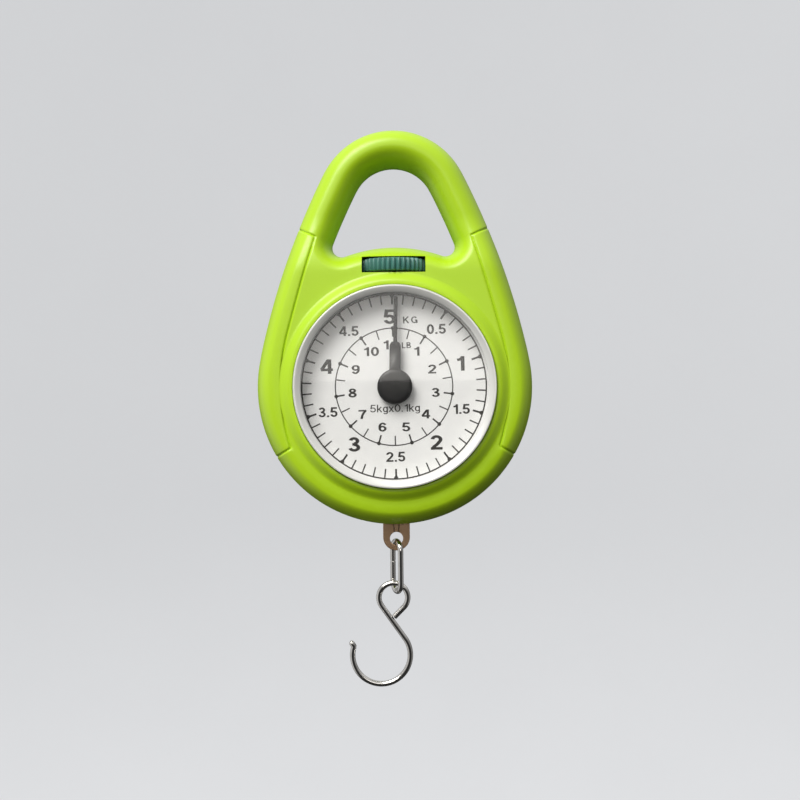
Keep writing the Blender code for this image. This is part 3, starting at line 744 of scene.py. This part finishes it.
PLATE_HOLE_R, PLATE_EDGE = 2.0, 0.05
front_y, back_y = DIAL_Y
plate = [(PLATE_HOLE_R, back_y), (PLATE_HOLE_R, front_y + PLATE_EDGE), (PLATE_HOLE_R + PLATE_EDGE, front_y)]
plate += [(DIAL_R - PLATE_EDGE, front_y), (DIAL_R, front_y + PLATE_EDGE), (DIAL_R, back_y)]
piece(lathe("dial_face", plate, (0, 0, 0), segments=160, mat=DIAL), "housing", "dial_card", "dial_plate")

# ---------------------------------------------------------------- dial print

PRINT = (DIAL_Y[0] - 0.04, DIAL_Y[0] - 0.005)
PRINT_LEAN = math.radians(0.8)  # the card sits a little turned and off centre
PRINT_SHIFT = -0.3


def printed(name, polygons):
    """A thin layer of ink on the dial card."""
    c, s = math.cos(PRINT_LEAN), math.sin(PRINT_LEAN)
    placed = [[(x * c - z * s + PRINT_SHIFT, x * s + z * c) for x, z in poly] for poly in polygons]
    return piece(flat_union(name, placed, PRINT, INK), "housing", "black_plastic")


def bar(r0, r1, width, degrees, tip=None):
    """A radial mark between two radii, clockwise from the top. tip is its width at the outer end."""
    a = math.radians(90 - degrees)
    c, s = math.cos(a), math.sin(a)
    w0, w1 = width / 2, (tip or width) / 2
    return [
        (r0 * c - w0 * s, r0 * s + w0 * c), (r1 * c - w1 * s, r1 * s + w1 * c),
        (r1 * c + w1 * s, r1 * s - w1 * c), (r0 * c + w0 * s, r0 * s - w0 * c),
    ]


def circle_line(r, width, count):
    """A thin ring as wedges."""
    out = []
    for k in range(count):
        a0, a1 = 2 * math.pi * k / count, 2 * math.pi * (k + 1) / count
        corners = ((r, a0), (r + width, a0), (r + width, a1), (r, a1))
        out.append([(q * math.cos(a), q * math.sin(a)) for q, a in corners])
    return out


outer = circle_line(32.95, 0.5, 200)
for k in range(50):
    if k % 5:
        outer.append(bar(29.7, 33.1, 0.48, 7.2 * k))
    else:
        outer.append(bar(29.6, 33.1, 0.66, 7.2 * k))
        outer.append(bar(31.9, 33.1, 0.6, 7.2 * k, 1.9))
printed("kg_scale_print", outer)
inner = circle_line(20.9, 0.4, 150)
for k in range(22):
    angle = 360 * k / 22
    if k % 2:
        inner.append(bar(17.7, 21.0, 0.42, angle))
    else:
        inner.append(bar(18.0, 21.0, 0.56, angle))
        a = math.radians(90 - angle)
        inner.append(arc(21.1 * math.cos(a), 21.1 * math.sin(a), 0.68, 0, 360, 20))
printed("lb_scale_print", inner)


def curve(cx, cy, rx, ry, start, end, steps=18):
    return [
        (cx + rx * math.cos(math.radians(a)), cy + ry * math.sin(math.radians(a)))
        for a in (start + (end - start) * k / steps for k in range(steps + 1))
    ]


def oval(cx, cy, rx, ry):
    """A closed oval as two strokes that overlap a little."""
    return [curve(cx, cy, rx, ry, 88, 272), curve(cx, cy, rx, ry, -92, 92)]


def glyph(char, w):
    """(strokes, width) of a sign one unit tall, drawn with strokes w wide. A stroke is its middle line."""
    h = w / 2
    if char == "0":
        return oval(0.28, 0.5, 0.28 - h, 0.5 - h), 0.56
    if char == "1":
        flag = [(0.07, 0.745), (0.19, 0.775), (0.28, 0.84), (0.33, 0.95)]
        return [[(0.33, 0.0), (0.33, 1.0)], flag], 0.33 + h
    if char == "2":
        top = curve(0.28, 0.70, 0.28 - h, 0.30 - h, 172, -30)
        return [top + [(0.30, 0.36), (0.16, 0.22), (h + 0.01, h * 0.9)], [(0.0, h), (0.56, h)]], 0.56
    if char == "3":
        up = curve(0.27, 0.735, 0.255 - h, 0.265 - h, 165, -88)
        return [up, curve(0.275, 0.28, 0.285 - h, 0.28 - h, 92, -168), [(0.19, 0.51), (0.30, 0.51)]], 0.56
    if char == "4":
        slope = [(0.035, 0.30), (0.37, 0.97)]
        return [[(0.41, 0.0), (0.41, 1.0)], [(0.0, 0.28), (0.57, 0.28)], slope], 0.57
    if char == "5":
        bowl = curve(0.275, 0.325, 0.285 - h, 0.325 - h, 138, -165)
        return [[(0.11, 1 - h), (0.52, 1 - h)], [(0.155, 1.0), (0.085, 0.46)], bowl], 0.56
    if char in "69":
        strokes = oval(0.28, 0.32, 0.28 - h, 0.32 - h)
        strokes.append(curve(0.30, 0.5, 0.30 - h, 0.5 - h, 35, 190))
        if char == "9":
            strokes = [[(0.56 - x, 1 - y) for x, y in s] for s in strokes]
        return strokes, 0.56
    if char == "7":
        leg = [(0.50, 1 - h), (0.36, 0.66), (0.26, 0.38), (0.21, 0.0)]
        return [[(0.0, 1 - h), (0.55, 1 - h)], leg], 0.55
    if char == "8":
        strokes = []
        for cy, rx, ry in ((0.745, 0.25, 0.255), (0.28, 0.285, 0.28)):
            strokes += oval(0.285, cy, rx - h, ry - h)
        return strokes, 0.57
    if char == ".":
        return [[(h, 0.0), (h, w * 1.05)]], w
    if char == "K":
        return [[(h, 0), (h, 1)], [(0.60, 1.0), (h, 0.36)], [(0.26, 0.60), (0.62, 0.0)]], 0.66
    if char == "G":
        sweep = curve(0.37, 0.5, 0.37 - h, 0.5 - h, 40, 322, 28)
        return [sweep, [(0.42, 0.44), (0.72, 0.44)], [(0.72 - h, 0.48), (0.72 - h, 0.0)]], 0.72
    if char == "L":
        return [[(h, 0), (h, 1)], [(0, h), (0.50, h)]], 0.50
    if char == "B":
        strokes = [[(h, 0), (h, 1)]]
        for cy, reach, ry in ((0.755, 0.53, 0.245), (0.265, 0.58, 0.265)):
            bow = curve(reach - ry, cy, ry - h, ry - h, 92, -92)
            flat = reach - ry + 0.02
            strokes += [bow, [(0, cy + ry - h), (flat, cy + ry - h)], [(0, cy - ry + h), (flat, cy - ry + h)]]
        return strokes, 0.58
    if char == "k":
        return [[(h, 0), (h, 1)], [(0.42, 0.70), (h, 0.26)], [(0.19, 0.42), (0.44, 0.0)]], 0.46
    if char == "g":
        bowl = oval(0.24, 0.36, 0.24 - h, 0.36 - h)
        tail = [(0.48 - h, 0.72), (0.48 - h, -0.06)]
        hook = curve(0.24, -0.06, 0.24 - h, 0.22 - h, 0, -150)
        return [*bowl, tail, hook], 0.48
    if char == "x":
        return [[(0.02, 0.72), (0.42, 0.0)], [(0.42, 0.72), (0.02, 0.0)]], 0.44
    return [], 0.3


def ribbon(path, w):
    """A stroke w wide as a row of four-sided pieces."""
    left, right = [], []
    for i, (x, y) in enumerate(path):
        x0, y0 = path[max(i - 1, 0)]
        x1, y1 = path[min(i + 1, len(path) - 1)]
        size = math.hypot(x1 - x0, y1 - y0)
        nx, ny = -(y1 - y0) / size * w / 2, (x1 - x0) / size * w / 2
        left.append((x + nx, y + ny))
        right.append((x - nx, y - ny))
    return [[right[k], right[k + 1], left[k + 1], left[k]] for k in range(len(path) - 1)]


def lettering(text, cx, cz, height, weight, gap=0.12, stretch=1.0):
    """Outlines of a line of signs centred on a point."""
    drawn, pen = [], 0.0
    for char in text:
        strokes, width = glyph(char, weight)
        for stroke in strokes:
            drawn += [[(x * stretch + pen, y) for x, y in quad] for quad in ribbon(stroke, weight)]
        pen += width * stretch + gap
    half = (pen - gap) / 2
    return [[(cx + (x - half) * height, cz + (y - 0.5) * height) for x, y in quad] for quad in drawn]


KG_TEXT_R, LB_TEXT_R = 25.2, 15.1
UNDER_HAND = -1.0  # the capacity's numbers stand beside the hand
for k in range(1, 11):
    a = math.radians(90 - 36 * k)
    x, z = KG_TEXT_R * math.cos(a), KG_TEXT_R * math.sin(a)
    if k % 2:
        if abs(x) > 1:  # half kilograms give way to the marks beside them
            x, z = (x + math.copysign(0.9, x), z) if z > 0 else (x, z - 0.8)
        printed(f"kg_number_{k // 2}_5", lettering(f"{k // 2}.5", x, z, 3.5, 0.165, 0.13, 1.32))
    else:
        x += UNDER_HAND if k == 10 else 0
        printed(f"kg_number_{k // 2}", lettering(str(k // 2), x, z, 5.2, 0.175, 0.1, 1.45))
for k in range(1, 12):
    a = math.radians(89 - 360 * k / 11)
    x, z = LB_TEXT_R * math.cos(a), LB_TEXT_R * math.sin(a)
    x += UNDER_HAND * 1.5 if k == 11 else 0
    printed(f"lb_number_{k}", lettering(str(k), x, z, 3.2, 0.165, 0.2, 1.62))
printed("kg_unit", lettering("KG", 6.4, 23.9, 2.4, 0.155, 0.34, 1.32))
printed("lb_unit", lettering("LB", 4.8, 14.8, 2.1, 0.15, 0.16, 1.3))
printed("capacity_mark", lettering("5kgx0.1kg", 0.15, -7.7, 2.7, 0.115, 0.15, 1.38))

# ---------------------------------------------------------------- pointer

hub = [(0, -15.55), (4.6, -15.5), (5.7, -15.35), (6.2, -15.0), (6.3, -14.5), (6.3, -13.3), (0, -13.3)]
pointer = lathe("pointer_hub_and_hand", hub, (0, 0, 0), segments=96, mat=BLACK)
HAND_W, HAND_END, HAND_ROUND, NEEDLE_W, TIP = 2.0, 14.4, 1.6, 0.7, 32.2
HAND_YS = (-14.75, -13.7)
hand = [(HAND_W, 1.0)]
hand += [(NEEDLE_W + (HAND_W - NEEDLE_W) * c, HAND_END + HAND_ROUND * s) for c, s in arc(0, 0, 1, 0, 90, 8)]
hand += [(NEEDLE_W, HAND_END + HAND_ROUND), (NEEDLE_W, TIP - 0.15), (NEEDLE_W - 0.15, TIP)]
hand += [(-x, z) for x, z in reversed(hand)]
HAND_LEAN = math.radians(1.1)  # clockwise
c, s = math.cos(HAND_LEAN), math.sin(HAND_LEAN)
arm = flat_union("hand", [[(x * c + z * s, z * c - x * s) for x, z in hand]], HAND_YS, BLACK)
bevel(arm, 0.12, 2)
boolean(pointer, arm, "UNION")
cavity = rod("socket", 1.2, (-14.6, -12), (0, 0, 0))
boolean(pointer, cavity, "DIFFERENCE")
piece(pointer, "pointer_group", "black_plastic", "pointer")

# ---------------------------------------------------------------- zero wheel

RIB_STEPS, RIB_DEPTH, WHEEL_HOLE_R = 10, 0.85, 2.3
count = WHEEL_RIBS * RIB_STEPS
rib_rings = []
for z, sink in ((-2.35, 0.75), (-2.2, 0.3), (-1.85, 0.0), (1.85, 0.0), (2.2, 0.3), (2.35, 0.75)):
    level = []
    for k in range(count):
        phase = 2 * math.pi * (k % RIB_STEPS) / RIB_STEPS
        ridge = 0.5 * (1 + math.cos(phase))
        r = WHEEL_R - sink - RIB_DEPTH * (1 - ridge**0.6)
        a = 2 * math.pi * k / count
        level.append((r * math.cos(a), MECH_Y + r * math.sin(a), WHEEL_Z + z))
    rib_rings.append(level)
for z in (2.35, -2.35):
    rib_rings.append([(x, MECH_Y + y, WHEEL_Z + z) for x, y in arc(0, 0, WHEEL_HOLE_R, 0, 360, count)])
wheel_faces = []
for i in range(len(rib_rings)):
    j = (i + 1) % len(rib_rings)
    for k in range(count):
        n = (k + 1) % count
        wheel_faces.append((i * count + k, i * count + n, j * count + n, j * count + k))
wheel = mesh_object("thumb_wheel", [p for level in rib_rings for p in level], wheel_faces, TEAL, 60)
piece(wheel, "zero_adjuster", "teal_plastic", "zero_wheel")

# ---------------------------------------------------------------- load bar, link and hook

STRIP_HALF, STRIP_TOP, STRIP_ROUND_Z, STRIP_YS = 4.9, -23.4, -55.1, (-3.6, -2.4)
HOLE_Z, HOLE_R, RIVET_X, RIVET_Z, RIVET_R = -55.6, 2.42, 2.6, -25.0, 0.95
tongue = [(STRIP_HALF, STRIP_TOP)] + [(-x, z) for x, z in arc(0, STRIP_ROUND_Z, STRIP_HALF, 180, 360, 60)]
tongue += [(-STRIP_HALF, STRIP_ROUND_Z), (-STRIP_HALF, STRIP_TOP)]
holes = [arc(0, HOLE_Z, HOLE_R, 0, 360, 48)]
holes += [arc(x, RIVET_Z, RIVET_R, 0, 360, 24) for x in (-RIVET_X, RIVET_X)]
load_bar = flat_union("load_bar_strip", [tongue], STRIP_YS, NICKEL, holes)
bevel(load_bar, 0.18, 3)
piece(load_bar, "carriage", "nickel_steel", "load_bar")

LINK_R, LINK_TOP, LINK_LOW, LINK_TWIST = 3.5, -56.6, -75.0, math.radians(24)
loop = []
for k in range(33):
    a = math.pi * k / 32
    loop.append((LINK_R * math.cos(a), LINK_TOP - LINK_R + LINK_R * math.sin(a)))
straight = LINK_TOP - LINK_LOW - 2 * LINK_R
for k in range(1, 40):
    loop.append((-LINK_R, LINK_TOP - LINK_R - straight * k / 40))
for k in range(33):
    a = math.pi + math.pi * k / 32
    loop.append((LINK_R * math.cos(a), LINK_LOW + LINK_R + LINK_R * math.sin(a)))
for k in range(1, 12):
    loop.append((LINK_R, LINK_LOW + LINK_R + straight * k / 12))
seam = math.pi * LINK_R + straight * 0.36  # where the wire's ends meet
SEAM_DEPTH, SEAM_W = 0.16, 0.16


def link_radius(s):
    return 1.0 - SEAM_DEPTH * math.exp(-(((s - seam) / SEAM_W) ** 2))


path = [(c * math.sin(LINK_TWIST), MECH_Y - c * math.cos(LINK_TWIST), z) for c, z in loop]
link = tube("chain_link", path, link_radius, 28, True, CHROME)
piece(link, "link", "nickel_steel", "link")

EYE_X, EYE_Z, EYE_R, BOWL_DX, BOWL_DZ, BOWL_R = -1.4, -77.25, 5.3, -4.56, -21.1, 10.6
bx, bz = EYE_X + BOWL_DX, EYE_Z + BOWL_DZ
apart = math.hypot(BOWL_DX, BOWL_DZ)
leave = math.degrees(math.atan2(BOWL_DZ, BOWL_DX) % (2 * math.pi) - math.acos((EYE_R + BOWL_R) / apart))
line = [(bx - BOWL_R - 0.6, bz + BOWL_R * 0.5), (bx - BOWL_R - 0.15, bz + BOWL_R * 0.4)]
line += arc(bx, bz, BOWL_R, 162, leave + 180, 90)
end = (bx - BOWL_R * math.cos(math.radians(leave)), bz - BOWL_R * math.sin(math.radians(leave)))
begin = (EYE_X + EYE_R * math.cos(math.radians(leave)), EYE_Z + EYE_R * math.sin(math.radians(leave)))
line += [(end[0] + (begin[0] - end[0]) * k / 20, end[1] + (begin[1] - end[1]) * k / 20) for k in range(20)]
line += arc(EYE_X, EYE_Z, EYE_R, leave, -45, 60)
EYE_TAIL = 3.5
sx, sz = EYE_X + EYE_R * math.sqrt(0.5), EYE_Z - EYE_R * math.sqrt(0.5)
line += [(sx - EYE_TAIL * k / 8, sz - EYE_TAIL * k / 8) for k in range(9)]
path = [Vector((x, MECH_Y, z)) for x, z in line]
first, last = ((b - a).normalized() for a, b in ((path[0], path[1]), (path[-2], path[-1])))
tip = [path[0] + first * d for d in (0.0, 0.06, 0.2, 0.4, 0.65)]
path = tip + path[1:-1] + [path[-1] - last * 0.12, path[-1]]
total = sum((b - a).length for a, b in zip(path, path[1:]))


def hook_radius(s):
    """Round at the open tip, and a little bevelled where the wire ends at the eye."""
    if s < 1.0:
        return max(math.sqrt(1 - (1 - s) ** 2), 0.25)
    return 0.88 if s > total - 0.05 else 1.0


hook = tube("s_hook_wire", path, hook_radius, 28, mat=CHROME)
piece(hook, "s_hook", "nickel_steel", "s_hook")

# ---------------------------------------------------------------- springs

SPRING_X, SPRING_R, SPRING_TURNS, SPRING_Z = 14.0, 3.45, 20, (-18.4, 28.8)
SPRING_WIRE_R, TURN_STEPS = 0.55, 28
low, high = SPRING_Z
for name, x in (("spring_left", -SPRING_X), ("spring_right", SPRING_X)):
    path = [(x + 1.6, MECH_Y, low - 6.6), (x + 0.7, MECH_Y, low - 6.6)]
    path += [(x + 0.2, MECH_Y, low - 6.4), (x, MECH_Y, low - 5.9)]
    path += [(x, MECH_Y, low - 5.9 + 5.0 * k / 12) for k in range(1, 13)]
    path += [(x + 0.5, MECH_Y - 0.1, low - 0.45), (x + 1.6, MECH_Y - 0.3, low - 0.12)]
    steps = SPRING_TURNS * TURN_STEPS
    for k in range(steps + 1):
        a = 2 * math.pi * k / TURN_STEPS
        z = low + (high - low) * k / steps
        path.append((x + SPRING_R * math.cos(a), MECH_Y + SPRING_R * math.sin(a), z))
    path += [(x + 1.6, MECH_Y + 0.3, high + 0.12), (x + 0.5, MECH_Y + 0.1, high + 0.45)]
    path += [(x, MECH_Y, high + 0.9 + 4.7 * k / 12) for k in range(13)]
    path += [(x + 0.2, MECH_Y, high + 6.0), (x + 0.7, MECH_Y, high + 6.1), (x + 1.6, MECH_Y, high + 6.1)]
    coil = tube(name + "_coil", path, SPRING_WIRE_R, 12, mat=SPRING)
    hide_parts(name)
    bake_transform(coil)

# ---------------------------------------------------------------- CAD nodes that stay

KEPT = {
    "zinc_steel": ZINC,
    "brass": BRASS,
    "white_nylon": NYLON,
    "nickel_steel": NICKEL,
    "teal_plastic": TEAL,
    "spring_steel": SPRING,
    "black_plastic": BLACK,
    "lime_case": LIME,
    "silver_trim": SILVER,
    "dial_card": DIAL,
    "clear_lens": CLEAR,
}
for row in frame["record"]["subparts"]:
    node = NODES[row["node"]]
    if not node.hide_render:
        node.data.materials.clear()
        node.data.materials.append(KEPT[row["material_slot"]])

# ---------------------------------------------------------------- stage, light and camera


def area_light(name, place, aim, size, watts, colour=(1, 1, 1)):
    data = bpy.data.lights.new(name, "AREA")
    data.shape = "RECTANGLE"
    data.size, data.size_y = size
    data.energy = watts
    data.color = colour
    obj = bpy.data.objects.new(name, data)
    bpy.context.scene.collection.objects.link(obj)
    obj.location = place
    obj.rotation_euler = (Vector(aim) - Vector(place)).to_track_quat("-Z", "Y").to_euler()
    obj.visible_camera = False
    return obj


CENTRE = (0, 0, -0.085)
area_light("key", (-0.8, -1.3, 1.45), CENTRE, (1.3, 1.3), 55, (1.0, 0.985, 0.95))
area_light("front_card", (0, -1.2, 0.12), (0, 0, 0.12), (0.8, 0.33), 1.6, (1.0, 0.97, 0.92))

stage_mat, stage_shader = textured(
    "pale_floor", (0.30, 0.30, 0.305), (0.315, 0.315, 0.32), (0.7, 0.9), scale=3, bump_scale=40
)
stage_shader.inputs["Emission Color"].default_value = (0.95, 0.97, 1.0, 1)
stage_shader.inputs["Emission Strength"].default_value = 0.5
STAGE_R, STAGE_T, FLOOR_Z, WALL_TOP, COVE, COVE_STEPS = 3000.0, 20, -1200.0, 4000.0, 900.0, 12
profile = [(0, FLOOR_Z)]
for k in range(COVE_STEPS + 1):  # the floor turns up into the wall
    t = math.pi / 2 * k / COVE_STEPS
    profile.append((STAGE_R - COVE + COVE * math.sin(t), FLOOR_Z + COVE * (1 - math.cos(t))))
profile += [(STAGE_R, WALL_TOP), (STAGE_R + STAGE_T, WALL_TOP)]
profile += [(STAGE_R + STAGE_T, FLOOR_Z - STAGE_T), (0, FLOOR_Z - STAGE_T)]
floor = lathe("floor", profile, (0, 0, 0), "Z", 128, stage_mat, 60)
floor.visible_diffuse = floor.visible_glossy = floor.visible_shadow = False

world = bpy.data.worlds.new("studio")
bpy.context.scene.world = world
world.use_nodes = True
nodes, links = world.node_tree.nodes, world.node_tree.links
direction = nodes.new("ShaderNodeTexCoord")
parts = nodes.new("ShaderNodeSeparateXYZ")
links.new(direction.outputs["Generated"], parts.inputs[0])


def world_ramp(output, stops):
    """Brightness along one axis of direction, from -1 at position 0 to 1 at position 1."""
    share = nodes.new("ShaderNodeMath")
    share.operation = "MULTIPLY_ADD"
    share.inputs[1].default_value = share.inputs[2].default_value = 0.5
    links.new(output, share.inputs[0])
    ramp = nodes.new("ShaderNodeValToRGB")
    ends = ramp.color_ramp.elements
    for element, (place, value) in zip((ends[0], ends[1]), (stops[0], stops[-1])):
        element.position, element.color = place, (value, value, value, 1)
    for place, value in stops[1:-1]:
        ends.new(place).color = (value, value, value, 1)
    links.new(share.outputs[0], ramp.inputs[0])
    return ramp.outputs[0]


HEIGHT_STOPS = [(0.0, 0.05), (0.5, 0.04), (0.6, 0.3), (0.8, 1.0), (1.0, 1.1)]
SIDE_STOPS = [(0.0, 0.9), (0.12, 0.85), (0.24, 0.0), (0.84, 0.0), (0.93, 0.4), (1.0, 0.4)]
height = world_ramp(parts.outputs["Z"], HEIGHT_STOPS)
sides = world_ramp(parts.outputs["X"], SIDE_STOPS)
joined = nodes.new("ShaderNodeMix")
joined.data_type, joined.blend_type = "RGBA", "LIGHTEN"
joined.inputs["Factor"].default_value = 1.0
for output, name in ((height, "A"), (sides, "B")):
    links.new(output, next(s for s in joined.inputs if s.name == name and s.type == "RGBA"))
colour = next(s for s in joined.outputs if s.type == "RGBA")
links.new(colour, nodes["Background"].inputs["Color"])
nodes["Background"].inputs["Strength"].default_value = 0.7
bpy.context.scene.view_settings.view_transform = "Standard"

camera = bpy.data.cameras.new("camera")
camera.lens = 49.86
camera.clip_start = 0.01
cam = bpy.data.objects.new("camera", camera)
bpy.context.scene.collection.objects.link(cam)
CAMERA_RIGHT, CAMERA_FAR, CAMERA_DROP = 1.8, 410.0, 4.8  # from the dial centre
cam.location = (CAMERA_RIGHT * MM, -CAMERA_FAR * MM, -(HANG_Z + CAMERA_DROP) * MM)
cam.rotation_euler = (math.radians(90), math.radians(0.6), 0)
bpy.context.scene.camera = cam
